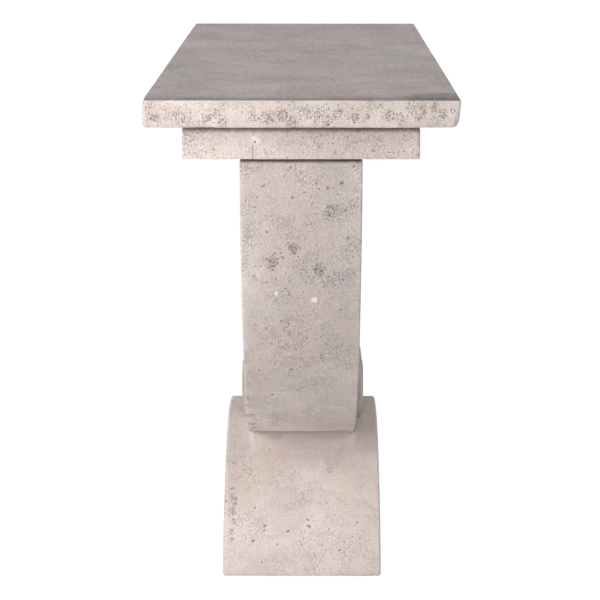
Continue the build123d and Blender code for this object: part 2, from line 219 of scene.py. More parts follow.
def drum(name, radius, half_width, centre_z, steps, material):
    """A closed cylinder across the table, for cutting."""
    turn = np.linspace(0, 2 * math.pi, steps, endpoint=False)
    ring = np.stack([radius * np.cos(turn), np.zeros(steps), centre_z + radius * np.sin(turn)], axis=1)
    points = np.concatenate([ring - (0, half_width, 0), ring + (0, half_width, 0)])
    sides = [(i, (i + 1) % steps, (i + 1) % steps + steps, i + steps) for i in range(steps)]
    caps = [tuple(range(steps))[::-1], tuple(range(steps, 2 * steps))]
    obj = mesh_object(name, points, sides + caps, material)
    tidy_normals(obj.data)
    return obj


def tidy_normals(mesh, weld=False):
    """Turns all faces outward, after joining points in one place if they are to be welded."""
    shape = bmesh.new()
    shape.from_mesh(mesh)
    if weld:
        bmesh.ops.remove_doubles(shape, verts=shape.verts, dist=WELD_DISTANCE)
    bmesh.ops.recalc_face_normals(shape, faces=shape.faces)
    shape.to_mesh(mesh)
    shape.free()


def node_tool(name):
    """A closed copy of a CAD node, for cutting the space it fills."""
    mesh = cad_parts[name].data.copy()
    tidy_normals(mesh, weld=True)
    return add_object("tool_" + name, mesh)


# ---------------------------------------- shader tools
class Nodes:
    """The nodes of one material, with short ways to add and join them."""

    def __init__(self, name):
        self.material = bpy.data.materials.new(name)
        self.material.use_nodes = True
        self.tree = self.material.node_tree
        self.shader = self.tree.nodes["Principled BSDF"]

    def add(self, kind, inputs=None, **settings):
        """A node of a kind, with values or sockets for its inputs, and its other settings."""
        made = self.tree.nodes.new("ShaderNode" + kind)
        for key, value in settings.items():
            setattr(made, key, value)
        for key, value in (inputs or {}).items():
            self.feed(made.inputs[key], value)
        return made

    def feed(self, target, value):
        """Joins a socket to an input, or gives the input a value."""
        if isinstance(value, bpy.types.NodeSocket):
            self.tree.links.new(value, target)
        else:
            target.default_value = value

    def place(self, shift=(0, 0, 0)):
        """Object coordinates, which are the row frame in metres, moved by the shift."""
        coordinate = self.add("TexCoord").outputs["Object"]
        return self.add("Mapping", {"Vector": coordinate, "Location": shift}).outputs["Vector"]

    def cloud(self, where, scale, detail=3.0, rough=0.55, warp=0.0):
        """Noise from 0 to 1, mostly near 0.5; scale is about the number of clouds in a metre."""
        inputs = {"Vector": where, "Scale": scale, "Detail": detail, "Roughness": rough,
                  "Distortion": warp}
        return self.add("TexNoise", inputs).outputs["Fac"]

    def ramp(self, value, low, high, start=0.0, end=1.0):
        """A soft change from start to end while the value goes from low to high."""
        inputs = {"Value": value, "From Min": low, "From Max": high, "To Min": start, "To Max": end}
        return self.add("MapRange", inputs, interpolation_type="SMOOTHSTEP").outputs["Result"]

    def math(self, operation, first, second=0.0):
        made = self.add("Math", operation=operation)
        self.feed(made.inputs[0], first)
        self.feed(made.inputs[1], second)
        return made.outputs[0]

    def mix(self, amount, first, second, blend="MIX"):
        """Mixes two colours: inputs 6 and 7 and output 2 are a Mix node's colour sockets."""
        made = self.add("Mix", data_type="RGBA", blend_type=blend)
        self.feed(made.inputs["Factor"], amount)
        self.feed(made.inputs[6], first)
        self.feed(made.inputs[7], second)
        return made.outputs[2]

    def scaled(self, colour, amount):
        """The colour made lighter or darker: all its channels times the amount."""
        grey = self.add("CombineXYZ", {"X": amount, "Y": amount, "Z": amount}).outputs["Vector"]
        return self.mix(1.0, colour, grey, "MULTIPLY")

    def bump(self, height, strength, distance, below=None):
        """A normal bent by a height, on top of the bump below it."""
        inputs = {"Height": height, "Strength": strength, "Distance": distance}
        if below:
            inputs["Normal"] = below
        return self.add("Bump", inputs).outputs["Normal"]

    def finish(self, colour, roughness, normal):
        """Joins the last nodes to the shader and gives the material."""
        self.feed(self.shader.inputs["Base Color"], colour)
        self.feed(self.shader.inputs["Roughness"], roughness)
        self.feed(self.shader.inputs["Normal"], normal)
        return self.material


def shade(red, green, blue):
    """A colour given as it looks on screen, 0 to 255, in the linear light that shaders use."""
    def linear(value):
        part = value / 255
        return part / 12.92 if part <= 0.04045 else ((part + 0.055) / 1.055) ** 2.4

    return (linear(red), linear(green), linear(blue), 1.0)


# ---------------------------------------- materials
WHITE = (1.0, 1.0, 1.0, 1.0)
CREAM = shade(214, 201, 195)
SAND = shade(197, 183, 176)
LILAC = shade(192, 181, 180)
TOP_LIGHT = shade(169, 158, 157)
TOP_GREEN = shade(153, 149, 145)
TOP_DARK = shade(138, 128, 127)
PIT_BROWN = shade(112, 97, 88)
# Colour of the painted shade under the level joints.
JOINT_SHADE = shade(102, 90, 83)
WORN_PALE = shade(226, 217, 210)
CHALK = shade(234, 229, 225)
SMEAR_AND_LIGHT = shade(238, 227, 220)


def crumble(nodes, where, patches, furrows=1.0):
    """Short crooked furrows and small pits, in patches: 1 in a hollow, 0 on sound stone."""
    bend = nodes.cloud(where, 230.0, 3.0, 0.6, 0.9)
    off_line = nodes.math("ABSOLUTE", nodes.math("SUBTRACT", bend, 0.5))
    furrow = nodes.ramp(off_line, 0.012, 0.034, furrows, 0.0)
    broken = nodes.ramp(nodes.cloud(where, 300.0, 2.0), 0.45, 0.58)
    furrow = nodes.math("MULTIPLY", furrow, broken)
    lumps = nodes.cloud(where, 400.0, 2.0, 0.5)
    pits = nodes.ramp(nodes.math("ADD", lumps, nodes.math("MULTIPLY", patches, 0.10)), 0.62, 0.68)
    return nodes.math("MULTIPLY", nodes.math("MAXIMUM", furrow, pits), patches)


def near_places(nodes, where, places, ragged=3.0):
    """1 at the places and 0 beyond their reach, with ragged outlines: each place is (centre, reach)."""
    nearest = 100.0
    for centre, reach in places:
        away = nodes.add("VectorMath", operation="DISTANCE")
        nodes.feed(away.inputs[0], where)
        nodes.feed(away.inputs[1], centre)
        nearest = nodes.math("MINIMUM", nodes.math("DIVIDE", away.outputs["Value"], reach), nearest)
    rough = nodes.math("SUBTRACT", nodes.cloud(where, 170.0, 4.0, 0.7), 0.5)
    edge = nodes.math("ADD", nearest, nodes.math("MULTIPLY", rough, ragged))
    return nodes.ramp(edge, 0.5, 1.1, 1.0, 0.0)


def worn_face(nodes, still, place, shift):
    """The trowelled top: grey, finely mottled, darker along the near edge and near one corner."""
    where = nodes.place(shift=shift)
    tone = nodes.ramp(nodes.cloud(where, 9.0, 6.0, 0.6), 0.25, 0.75, 0.15, 0.9)
    top = nodes.mix(tone, TOP_DARK, TOP_LIGHT)
    green_where = nodes.place(shift=(4.4, 0.9, 7.3))
    green = nodes.ramp(nodes.cloud(green_where, 5.0, 4.0, 0.6), 0.46, 0.62, 0.0, 0.6)
    top = nodes.mix(green, top, TOP_GREEN)
    mottle = nodes.ramp(nodes.cloud(where, 46.0, 5.0, 0.75), 0.30, 0.70, 0.96, 1.04)
    grit = nodes.ramp(nodes.cloud(where, 150.0, 5.0, 0.85), 0.30, 0.70, 0.70, 1.28)
    uneven = nodes.math("SUBTRACT", nodes.cloud(where, 30.0, 4.0, 0.6), 0.5)
    inward = nodes.math("ADD", place.outputs["X"], nodes.math("MULTIPLY", uneven, 60 * MM))
    edge_dirt = nodes.ramp(inward, NEAR_END - 10 * MM, NEAR_END + 60 * MM, 0.56, 1.03)
    smudge = near_places(nodes, still, [((NEAR_END + 30 * MM, -180 * MM, TABLE_TOP), 60 * MM)], 1.5)
    light = nodes.math("MULTIPLY", nodes.math("MULTIPLY", mottle, grit), edge_dirt)
    light = nodes.math("MULTIPLY", light, nodes.ramp(smudge, 0.0, 1.0, 1.0, 0.62))
    top = nodes.scaled(top, light)
    specks = nodes.ramp(nodes.cloud(where, 120.0, 2.0, 0.5), 0.68, 0.74, 0.0, 0.35)
    return nodes.mix(specks, top, WORN_PALE)


def lightness(nodes, where, place, facing, brightness, grain, painted_shade_rightward, painted_light_up, painted_light_below):
    """How light the stone is from place to place: mottle, grain, the slow changes over a stone, and
    painted light and shade where asked.
    """
    mottle = nodes.ramp(nodes.cloud(where, 60.0, 5.0, 0.65), 0.30, 0.70, 0.95, 1.04)
    depth = 0.16 * grain
    grains = nodes.ramp(nodes.cloud(where, 420.0, 5.0, 0.8), 0.30, 0.70, 0.98 - depth, 0.98 + depth)
    light = nodes.math("MULTIPLY", nodes.math("MULTIPLY", mottle, grains), brightness)
    # Painted light: faces turned up are paler, standing in for light that the stones above keep off them.
    if painted_light_up:
        paler = nodes.ramp(facing.outputs["Z"], 0.25, 0.65, 1.0, 1 + painted_light_up)
        light = nodes.math("MULTIPLY", light, paler)
    # Painted light: faces turned to the floor are paler, standing in for bounce light from below.
    if painted_light_below:
        paler = nodes.ramp(facing.outputs["Z"], -0.92, -0.74, 1 + painted_light_below, 1.0)
        light = nodes.math("MULTIPLY", light, paler)
    # Painted shade: darker across the table towards the right, away from the light; a negative amount
    # paints light there instead.
    if painted_shade_rightward:
        across = nodes.ramp(place.outputs["Y"], -SLAB_HIGH[1], SLAB_HIGH[1], 1 - painted_shade_rightward, 1.0)
        light = nodes.math("MULTIPLY", light, across)
    return light


def arris_bloom(nodes, where, place, arris_half):
    """How much paler the stone is near its long arrises, which are arris_half from the middle."""
    drift = nodes.math("MULTIPLY", nodes.cloud(where, 22.0, 3.0), 14 * MM)
    outward = nodes.math("ADD", nodes.math("ABSOLUTE", place.outputs["Y"]), drift)
    return nodes.ramp(outward, arris_half - 9 * MM, arris_half + 6 * MM, 0.0, 0.22)


def fine_crack(nodes, still, place, top):
    """A crooked hairline crack that runs down from a point on the near end."""
    end_x, across_y, top_z = top
    waver = nodes.math("MULTIPLY", nodes.cloud(still, 90.0, 3.0), 3 * MM)
    off_line = nodes.math("SUBTRACT", nodes.math("ADD", place.outputs["Y"], waver), across_y + 1.5 * MM)
    crack = nodes.ramp(nodes.math("ABSOLUTE", off_line), 0.3 * MM, 0.9 * MM, 0.9, 0.0)
    downward = nodes.ramp(place.outputs["Z"], top_z - 3 * MM, top_z, 1.0, 0.0)
    inward = nodes.ramp(place.outputs["X"], end_x, end_x + 40 * MM, 1.0, 0.0)
    return nodes.math("MULTIPLY", nodes.math("MULTIPLY", crack, downward), inward)


def smear_and_painted_light(nodes, where, place, reach):
    """How much mortar is smeared over the stone and painted light lifts the leg's shadow on it, as wide
    as the cradle and out to a ragged reach.
    """
    beside = nodes.math("ABSOLUTE", place.outputs["X"])
    wander = nodes.math("MULTIPLY", nodes.cloud(where, 40.0, 4.0, 0.65), 50 * MM)
    smear_and_light = nodes.ramp(nodes.math("ADD", beside, wander), reach, reach + 45 * MM, 0.8, 0.0)
    across = nodes.math("ABSOLUTE", place.outputs["Y"])
    within = nodes.ramp(across, CRADLE_HALF_WIDTH - 4 * MM, CRADLE_HALF_WIDTH + 8 * MM, 1.0, 0.0)
    return nodes.math("MULTIPLY", smear_and_light, within)


def joint_painted_shade(nodes, where, place, height, reach):
    """Painted shade at a joint that lies level at a height, under the stone above: how much it darkens
    the stone.
    """
    ragged = nodes.math("MULTIPLY", nodes.cloud(where, 120.0, 4.0, 0.7), reach)
    away = nodes.math("ABSOLUTE", nodes.math("SUBTRACT", place.outputs["Z"], height))
    return nodes.ramp(nodes.math("SUBTRACT", away, ragged), 0.0, reach, 0.85, 0.0)


def cast_stone(name, shift, crumbled=1.0, brightness=1.0, pit_depth=0.45, patch_scale=24.0, furrows=1.0,
               lilac=(0.50, 0.65), painted_shade_rightward=0.0, worn_top=False, arris_half=None, shaded_joints=(),
               crumbled_at=(), pale_spots=(), bruises=(), hairline=None, smear_and_light_reach=None, grain=1.0,
               painted_light_up=0.0, painted_light_below=0.0):
    """Pinkish cast stone: mottled, grainy, crumbled into small hollows in patches.

    shift: how far the clouds are moved, so that no two stones are alike
    crumbled, pit_depth: how crumbled the patches are, and how dark their hollows
    patch_scale, furrows: how close together the patches lie, and how deep their furrows are
    lilac: where the lilac clouds start, and how strong they are
    painted_shade_rightward: painted shade, how much darker the stone gets across the table towards the
    right, the side turned from the light; below 0 it is painted light there
    worn_top: greys the upper face as trowelling does
    arris_half: how far the long arrises, which are paler, lie from the middle
    shaded_joints: (height, reach) of each level joint darkened with painted shade under the stone above
    crumbled_at, pale_spots, bruises: (centre, reach) of each pitted, chalky or dark place
    hairline: the top of a fine crack on the near end
    smear_and_light_reach: how far from the middle mortar is smeared over the stone, the smear also being
    painted light over the shade under the leg
    grain: the strength of the fine grain
    painted_light_up, painted_light_below: painted light, how much paler the stone is where it faces up,
    or faces the floor
    """
    nodes = Nodes(name)
    still = nodes.place()
    where = nodes.place(shift=shift)
    place = nodes.add("SeparateXYZ", {"Vector": still})
    facing = nodes.add("SeparateXYZ", {"Vector": nodes.add("NewGeometry").outputs["Normal"]})
    tone = nodes.ramp(nodes.cloud(where, 6.0, 5.0, 0.6), 0.36, 0.64)
    cool = nodes.ramp(nodes.cloud(where, 15.0, 4.0, 0.6, 0.4), lilac[0], lilac[0] + 0.18, 0.0, lilac[1])
    colour = nodes.mix(tone, SAND, CREAM)
    colour = nodes.mix(cool, colour, LILAC)
    if arris_half:
        colour = nodes.mix(arris_bloom(nodes, where, place, arris_half), colour, WORN_PALE)

    patches = nodes.ramp(nodes.cloud(where, patch_scale, 5.0, 0.65), 0.42, 0.66, 0.06, crumbled)
    if crumbled_at:
        patches = nodes.math("MAXIMUM", patches, near_places(nodes, still, crumbled_at, 2.2))
    if bruises:
        bruised = near_places(nodes, still, bruises)
        patches = nodes.math("MAXIMUM", patches, bruised)
    hollows = crumble(nodes, where, patches, furrows)
    if hairline:
        hollows = nodes.math("MAXIMUM", hollows, fine_crack(nodes, still, place, hairline))

    light = lightness(nodes, where, place, facing, brightness, grain, painted_shade_rightward, painted_light_up,
                      painted_light_below)
    colour = nodes.scaled(colour, light)
    if worn_top:
        upward = nodes.ramp(facing.outputs["Z"], 0.80, 0.97)
        colour = nodes.mix(upward, colour, worn_face(nodes, still, place, shift))
        hollows = nodes.math("MULTIPLY", hollows, nodes.ramp(upward, 0.0, 1.0, 1.0, 0.3))
    colour = nodes.mix(nodes.math("MULTIPLY", hollows, pit_depth), colour, PIT_BROWN)
    if bruises:
        colour = nodes.mix(nodes.math("MULTIPLY", bruised, 0.10), colour, PIT_BROWN)
    if pale_spots:
        chalky = nodes.math("MULTIPLY", near_places(nodes, still, pale_spots), 0.6)
        colour = nodes.mix(chalky, colour, CHALK)
    # A pale mortar smear, which is also painted light over the leg's shadow on the foot.
    if smear_and_light_reach:
        colour = nodes.mix(smear_and_painted_light(nodes, where, place, smear_and_light_reach), colour, SMEAR_AND_LIGHT)
    # Painted shade along each level joint, under the stone above.
    for height, reach in shaded_joints:
        colour = nodes.mix(joint_painted_shade(nodes, where, place, height, reach), colour, JOINT_SHADE)
    edge = nodes.ramp(nodes.add("NewGeometry").outputs["Pointiness"], 0.52, 0.60, 0.0, 0.35)
    colour = nodes.mix(edge, colour, WORN_PALE)

    roughness = nodes.ramp(nodes.cloud(where, 45.0, 4.0), 0.3, 0.7, 0.78, 0.96)
    normal = nodes.bump(nodes.cloud(where, 40.0, 4.0, 0.6), 0.40, 4.0 * MM)
    normal = nodes.bump(nodes.cloud(where, 380.0, 5.0, 0.8), 0.80, 1.3 * MM, normal)
    normal = nodes.bump(nodes.math("SUBTRACT", 1.0, hollows), 0.9, 1.2 * MM, normal)
    return nodes.finish(colour, roughness, normal)


def pit_wall():
    """The rough dark inside of a hole in the stone."""
    nodes = Nodes("stone_hole")
    where = nodes.place()
    mottle = nodes.ramp(nodes.cloud(where, 420.0, 4.0, 0.6), 0.3, 0.7)
    colour = nodes.mix(mottle, shade(124, 108, 99), shade(168, 153, 143))
    roughness = nodes.ramp(mottle, 0.0, 1.0, 0.86, 0.98)
    normal = nodes.bump(nodes.cloud(where, 1500.0, 4.0, 0.7), 0.5, 0.6 * MM)
    return nodes.finish(colour, roughness, normal)


def gritty(name, dark, light, scale, roughness, height):
    """A dull material with mottled colour and a fine grain."""
    nodes = Nodes(name)
    where = nodes.place()
    mottle = nodes.ramp(nodes.cloud(where, scale, 6.0, 0.65), 0.3, 0.7)
    speck = nodes.ramp(nodes.cloud(where, scale * 6, 3.0, 0.7), 0.35, 0.65, 0.0, 0.5)
    colour = nodes.mix(mottle, dark, light)
    colour = nodes.mix(speck, colour, dark)
    rough = nodes.ramp(speck, 0.0, 0.5, roughness - 0.08, roughness + 0.06)
    normal = nodes.bump(nodes.cloud(where, scale * 5, 4.0, 0.7), 0.6, height)
    return nodes.finish(colour, rough, normal)


def bar_steel(name, dark, light, roughness):
    """Steel with cloudy patches and a fine grain."""
    nodes = Nodes(name)
    where = nodes.place()
    patches = nodes.ramp(nodes.cloud(where, 60.0, 5.0, 0.6), 0.35, 0.65)
    grain = nodes.cloud(where, 1400.0, 3.0, 0.8)
    colour = nodes.mix(patches, dark, light)
    rough = nodes.ramp(grain, 0.3, 0.7, roughness - 0.07, roughness + 0.10)
    normal = nodes.bump(grain, 0.25, 0.2 * MM)
    nodes.shader.inputs["Metallic"].default_value = 1.0
    return nodes.finish(colour, rough, normal)


def floor_material():
    """Pale paper. The camera sees it washed out to white, as an over-lit backdrop is."""
    nodes = Nodes("studio_floor")
    paper = nodes.mix(nodes.cloud(nodes.place(), 3.0, 3.0), shade(231, 231, 231), shade(237, 237, 237))
    seen = nodes.add("LightPath").outputs["Is Camera Ray"]
    lit = nodes.add("BsdfDiffuse", {"Color": paper, "Roughness": 0.9})
    washed = nodes.add("Emission", {"Color": WHITE, "Strength": 1.02})
    choose = nodes.add("MixShader")
    nodes.feed(choose.inputs[0], seen)
    nodes.feed(choose.inputs[1], lit.outputs[0])
    nodes.feed(choose.inputs[2], washed.outputs[0])
    output = nodes.tree.nodes["Material Output"]
    nodes.feed(output.inputs["Surface"], choose.outputs[0])
    nodes.tree.nodes.remove(nodes.shader)
    return nodes.material


# Pitted places on the near end of the slab: (across, height, reach) in millimetres.
SLAB_PITTED = [
    (196, 751, 5), (187, 738, 9), (158, 741, 6), (147, 735, 8), (118, 737, 8),
    (108, 744, 7), (100, 733, 9), (61, 741, 9), (41, 737, 10), (24, 741, 12),
    (12, 733, 10), (-10, 747, 7), (-25, 743, 8), (-33, 733, 9), (-48, 743, 8),
    (-68, 738, 8), (-86, 739, 4), (-102, 753, 3), (-113, 741, 9), (-126, 737, 8),
    (-151, 740, 9), (-158, 750, 7), (-170, 752, 8), (-181, 743, 8), (-194, 748, 5),
]
# How far from the middle mortar is smeared over the foot; the smear is also painted light over the leg's
# shadow there.
SMEAR_AND_LIGHT_REACH = 136.5 * MM
STONE_HOLE = pit_wall()
SLAB_STONE = cast_stone(
    "slab_stone", (0.0, 0.0, 0.0), 0.7, 1.07, pit_depth=0.56, patch_scale=34.0, furrows=0.45,
    painted_shade_rightward=0.14, worn_top=True,
    crumbled_at=[((NEAR_END, y * MM, z * MM), reach * MM) for y, z, reach in SLAB_PITTED])
LINTEL_STONE = cast_stone(
    "lintel_stone", (3.1, 1.7, 0.4), 0.7, 1.19, lilac=(0.46, 0.6), painted_shade_rightward=0.27, grain=1.25,
    shaded_joints=[(LINTEL_HIGH[2], 7 * MM)],
    pale_spots=[((LINTEL_LOW[0], 0.060, 0.702), 7 * MM)],
    hairline=(LINTEL_LOW[0], 0.063, 0.700))
CRADLE_STONE = cast_stone(
    "cradle_stone", (1.3, 4.2, 2.6), 0.65, 0.97, pit_depth=0.6, lilac=(0.46, 0.6), grain=1.25,
    painted_shade_rightward=0.28, painted_light_below=0.26, arris_half=CRADLE_HALF_WIDTH,
    shaded_joints=[(CRADLE_HIGH[2], 3 * MM)],
    pale_spots=[((-0.469, 0.034, 0.486), 4 * MM), ((-0.465, -0.017, 0.475), 5 * MM)],
    bruises=[((-0.492, 0.010, 0.552), 9 * MM), ((-0.483, -0.026, 0.521), 11 * MM),
             ((-0.501, -0.040, 0.602), 11 * MM), ((-0.486, 0.040, 0.532), 11 * MM),
             ((-0.343, 0.080, 0.300), 6 * MM), ((-0.320, 0.078, 0.280), 7 * MM),
             ((-0.290, 0.077, 0.257), 9 * MM), ((-0.250, 0.075, 0.232), 11 * MM),
             ((-0.215, 0.073, 0.214), 13 * MM), ((-0.180, 0.072, 0.199), 14 * MM)])
FOOT_STONE = cast_stone(
    "foot_stone", (5.4, 2.2, 1.9), 0.45, 0.92, pit_depth=0.50, lilac=(0.46, 0.6), grain=0.65,
    painted_shade_rightward=-0.08, painted_light_up=0.20, smear_and_light_reach=SMEAR_AND_LIGHT_REACH,
    crumbled_at=[((-0.203, 0.108, 0.113), 4 * MM), ((-0.214, 0.106, 0.101), 7 * MM),
                 ((-0.221, 0.103, 0.094), 6 * MM), ((-0.229, 0.107, 0.085), 9 * MM),
                 ((-0.238, 0.105, 0.073), 7 * MM), ((-0.249, 0.108, 0.057), 8 * MM),
                 ((-0.255, 0.107, 0.048), 5 * MM)])
ROSETTE_STONE = cast_stone("rosette_stone", (7.7, 6.1, 3.3), 1.0, 0.85, pit_depth=0.6)
STRUCK_MORTAR = cast_stone(
    "struck_mortar", (8.8, 0.7, 5.1), 0.5, 0.82, furrows=0.3,
    shaded_joints=[(POINTING_TOP, 6 * MM)])


# ---------------------------------------- holes cut into the stones
# Depth, height of the middle above the stone's face, and unevenness of a hole, in parts of its radius.
HOLE_DEPTH = 0.9
HOLE_RAISED = 0.15
HOLE_UNEVEN = 0.45
# Holes keep this many of their own reaches apart; few lie outside the patches.
HOLE_CLEARANCE = 1.5
HOLE_STRAYS = 0.04
TRIES_PER_HOLE = 20


def ball():
    """Points and triangles of a small unit ball."""
    shape = bmesh.new()
    bmesh.ops.create_icosphere(shape, subdivisions=2, radius=1.0)
    points = np.array([vert.co[:] for vert in shape.verts])
    faces = np.array([[vert.index for vert in face.verts] for face in shape.faces])
    shape.free()
    return points, faces


BALL_POINTS, BALL_FACES = ball()


def hole_tool(name, places):
    """Ragged hollows to be cut out: each place is (centre, outward normal, radius, stretch, turn)."""
    points, faces = [], []
    for index, (centre, normal, radius, stretch, turn) in enumerate(places):
        outward = Vector(normal).normalized()
        along = outward.orthogonal().normalized()
        across = outward.cross(along)
        side = along * math.cos(turn) + across * math.sin(turn)
        other = outward.cross(side)
        frame_axes = np.array([side[:], other[:], outward[:]])
        lump = 1 + HOLE_UNEVEN * noise(BALL_POINTS + index * 3.7, 0.7, 5)
        size = np.array([radius * stretch, radius / math.sqrt(stretch), radius * HOLE_DEPTH])
        local = BALL_POINTS * lump[:, None] * size
        local[:, 2] += radius * HOLE_RAISED
        faces.append(BALL_FACES + len(points) * len(BALL_POINTS))
        points.append(local @ frame_axes + np.array(centre))
    return mesh_object(name, np.concatenate(points), np.concatenate(faces), STONE_HOLE)


def scatter_holes(obj, count, seed, smallest, largest, patch, wanted, taken=()):
    """Places for more holes on a stone's faces, gathered in patches, none touching another."""
    mesh = obj.data
    total = len(mesh.polygons)
    centres = np.empty(total * 3)
    normals = np.empty(total * 3)
    areas = np.empty(total)
    mesh.polygons.foreach_get("center", centres)
    mesh.polygons.foreach_get("normal", normals)
    mesh.polygons.foreach_get("area", areas)
    centres = centres.reshape(-1, 3)
    normals = normals.reshape(-1, 3)
    cluster = smooth_step(fractal(centres, patch, seed), -0.1, 0.9)
    weight = areas * wanted(centres, normals) * (HOLE_STRAYS + cluster ** 2)
    edges = np.cumsum(weight) / weight.sum()
    dice = random.Random(seed)
    places = list(taken)
    tries = 0
    while len(places) < count + len(taken) and tries < count * TRIES_PER_HOLE:
        tries += 1
        pick = min(int(np.searchsorted(edges, dice.random())), total - 1)
        radius = smallest + (largest - smallest) * dice.random() ** 3
        stretch = 1 + 0.9 * dice.random() ** 2
        turn = dice.random() * math.pi
        centre = centres[pick]
        reach = radius * stretch * HOLE_CLEARANCE
        if all(math.dist(centre, other[0]) > reach + other[2] * other[3] * HOLE_CLEARANCE
               for other in places):
            places.append((centre, normals[pick], radius, stretch, turn))
    return places


# ---------------------------------------- the stones
SLAB_LEAN = 2 * MM
# Radii of the arrises, in millimetres, at the foot and at the top of each side.
SLAB_ARRISES = (6.0, 2.0)
LINTEL_ARRISES = (3.0, 6.5)


def slab():
    """The thin top: crisp upper arris with nibbles and chips, rounder lower arris, sides that lean."""
    middle = (SLAB_LOW + SLAB_HIGH) / 2
    half = (SLAB_HIGH - SLAB_LOW) / 2
    points, quads = lattice(lines(half[0], 1.4 * MM, 6 * MM, 12 * MM),
                            lines(half[1], 1.4 * MM, 3 * MM, 12 * MM),
                            lines(half[2], 1.3 * MM, 1.5 * MM, 4 * MM))
    height = (points[:, 2] + half[2]) / (2 * half[2])
    lower, upper = SLAB_ARRISES
    radius = (lower + (upper - lower) * smooth_step(height, 0.2, 0.9)) * MM
    worn = smooth_step(fractal(points, 0.05, 11), 0.25, 1.1)
    nibbles = smooth_step(fractal(points, 0.012, 12), 0.45, 1.2)
    corner = bump_at(points, (-half[0], half[1], half[2]), 14 * MM)
    low_corners = sum(bump_at(points, (x * half[0], y * half[1], -half[2]), 22 * MM)
                      for x in (-1, 1) for y in (-1, 1))
    radius = radius + (2.4 * worn + 2.2 * nibbles * (0.4 + worn) + 4.5 * corner + 2.5 * low_corners) * MM
    shaped, normal = round_block(points, half, radius)
    near_edge = smooth_step(radius, 4 * MM, 9 * MM)
    relief = -0.10 * MM * (1 + noise(shaped, 0.09, 13))
    sides = 1 - smooth_step(np.abs(normal[:, 2]), 0.3, 0.8)
    relief -= 0.45 * MM * sides * (1 + noise(shaped, 0.025, 15))
    relief -= 0.35 * MM * near_edge * (1 + noise(shaped, 0.004, 14))
    shaped = shaped + normal * relief[:, None]
    lean = np.where(shaped[:, 1] > 0, height, height - 1) * SLAB_LEAN
    shaped[:, 1] -= lean * smooth_step(np.abs(shaped[:, 1]), 0, half[1])
    return mesh_object("top_slab_stone", shaped + middle, quads, SLAB_STONE)


def lintel():
    """The stepped-back course under the top, its upper arris the rounder one."""
    middle = (LINTEL_LOW + LINTEL_HIGH) / 2
    half = (LINTEL_HIGH - LINTEL_LOW) / 2
    points, quads = lattice(lines(half[0], 1.6 * MM, 5 * MM, 11 * MM),
                            lines(half[1], 1.6 * MM, 3 * MM, 11 * MM),
                            lines(half[2], 1.5 * MM, 1.8 * MM, 5 * MM))
    height = (points[:, 2] + half[2]) / (2 * half[2])
    lower, upper = LINTEL_ARRISES
    radius = (lower + (upper - lower) * smooth_step(height, 0.4, 0.9)) * MM
    worn = smooth_step(fractal(points, 0.06, 21), 0.25, 1.1)
    nibbles = smooth_step(fractal(points, 0.012, 22), 0.5, 1.2)
    radius = radius + (1.8 * worn + 1.6 * nibbles) * MM
    shaped, normal = round_block(points, half, radius)
    relief = -0.15 * MM * (1 + noise(shaped, 0.05, 23))
    relief -= 0.06 * MM * (1 + noise(shaped, 0.006, 24))
    return mesh_object("lintel_stone", shaped + normal * relief[:, None] + middle, quads,
                       LINTEL_STONE)


def inner_face(angle_off):
    """Radius of the cradle's inner face, where the hub is a soft-edged swelling."""
    distance = CRADLE_CENTRE_Z - ROSETTE_Z
    inside = HUB_RADIUS ** 2 - (distance * np.sin(angle_off)) ** 2
    hub = distance * np.cos(angle_off) - np.sqrt(np.clip(inside, 0, None))
    hub = np.where(inside > 0, hub, CRADLE_INNER + HUB_BLEND)
    share = np.clip(0.5 + 0.5 * (CRADLE_INNER - hub) / HUB_BLEND, 0, 1)
    return CRADLE_INNER + (hub - CRADLE_INNER) * share - HUB_BLEND * share * (1 - share)


def cradle():
    """Half ring, its inner face swollen over the hub, its near left arrises the most worn."""
    mid_radius = CRADLE_OUTER - CRADLE_BAND / 2
    half = np.array([mid_radius * math.pi / 2, CRADLE_HALF_WIDTH, CRADLE_BAND / 2])
    hub_half = 0.10
    along = lines(half[0], 2.5 * MM, 4.6 * MM, 10 * MM)
    closer = np.arange(-hub_half, hub_half, 2.5 * MM)
    along = np.sort(np.concatenate([along[np.abs(along) > hub_half + MM], closer]))
    points, quads = lattice(along, lines(half[1], 1.5 * MM, 3.4 * MM, 12 * MM),
                            lines(half[2], 1.5 * MM, 3.2 * MM, 9 * MM))
    near_side = points[:, 0] < 0
    left = points[:, 1] > 0
    down = 1 - np.abs(points[:, 0]) / half[0]
    worn = smooth_step(fractal(points, 0.05, 31), 0.2, 1.1)
    nibbles = smooth_step(fractal(points, 0.011, 32), 0.45, 1.2)
    eroded = np.where(near_side & left, 0.6 + 2.2 * down, 0.3)
    radius = (2.4 + worn * (1.2 + eroded) + nibbles * (1.2 + eroded)) * MM
    shaped, normal = round_block(points, half, radius)
    relief = -0.18 * MM * (1 + noise(shaped, 0.06, 33))
    relief -= 0.06 * MM * (1 + noise(shaped, 0.007, 34))
    shaped = shaped + normal * relief[:, None]
    angle = 1.5 * math.pi + shaped[:, 0] / mid_radius
    inner = inner_face(shaped[:, 0] / mid_radius)
    depth = (shaped[:, 2] + half[2]) / CRADLE_BAND
    radial = inner + (CRADLE_OUTER - inner) * depth
    bent = np.stack([radial * np.cos(angle), shaped[:, 1], CRADLE_CENTRE_Z + radial * np.sin(angle)],
                    axis=1)
    return mesh_object("cradle_stone", bent, quads[:, ::-1], CRADLE_STONE)


